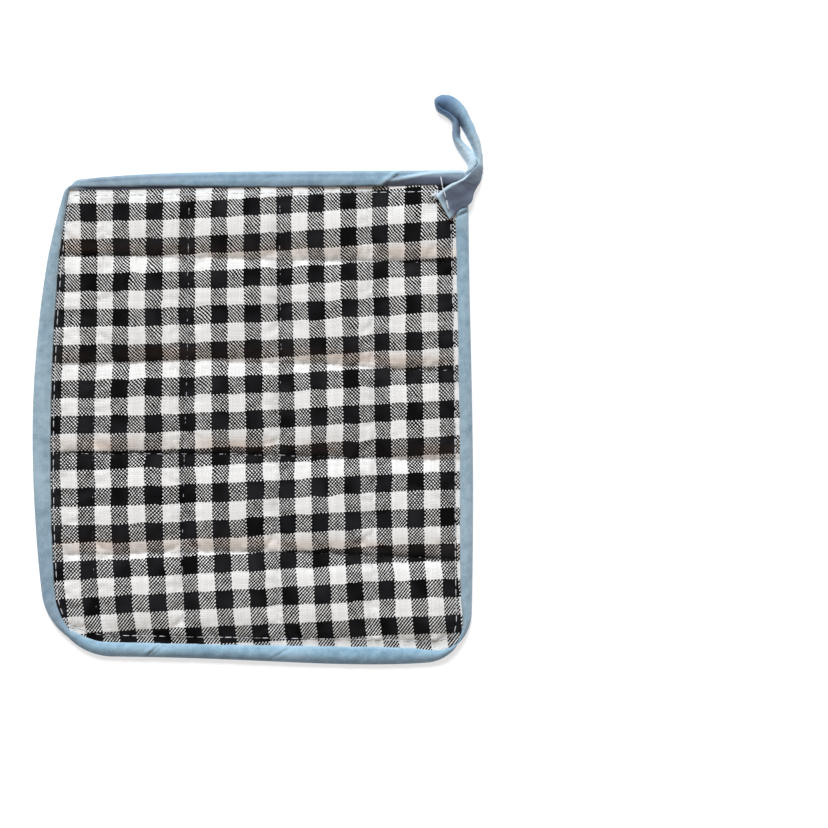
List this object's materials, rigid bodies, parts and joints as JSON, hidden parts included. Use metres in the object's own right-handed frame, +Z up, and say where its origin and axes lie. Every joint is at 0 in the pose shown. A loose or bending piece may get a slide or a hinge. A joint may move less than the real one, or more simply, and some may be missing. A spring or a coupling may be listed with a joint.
{
  "type": "quilted pot holder",
  "caption": "Quilted square pot holder of checked cotton, bound with plain tape that ends in a hanging loop at one corner.",
  "frame": {"origin": "on the table, under the middle of the box around the holder and its loop", "axes": "+Z up out of the front face, +Y towards the edge with the loop"},
  "size_m": [0.2082, 0.2622, 0.0074],
  "materials": {
    "gingham": "matt plain weave cotton",
    "tape": "matt fine cotton",
    "thread": "cotton sewing thread"
  },
  "bodies": {
    "root": {"pad": "gingham", "binding": "tape", "loop": "tape"}
  },
  "joints": []
}
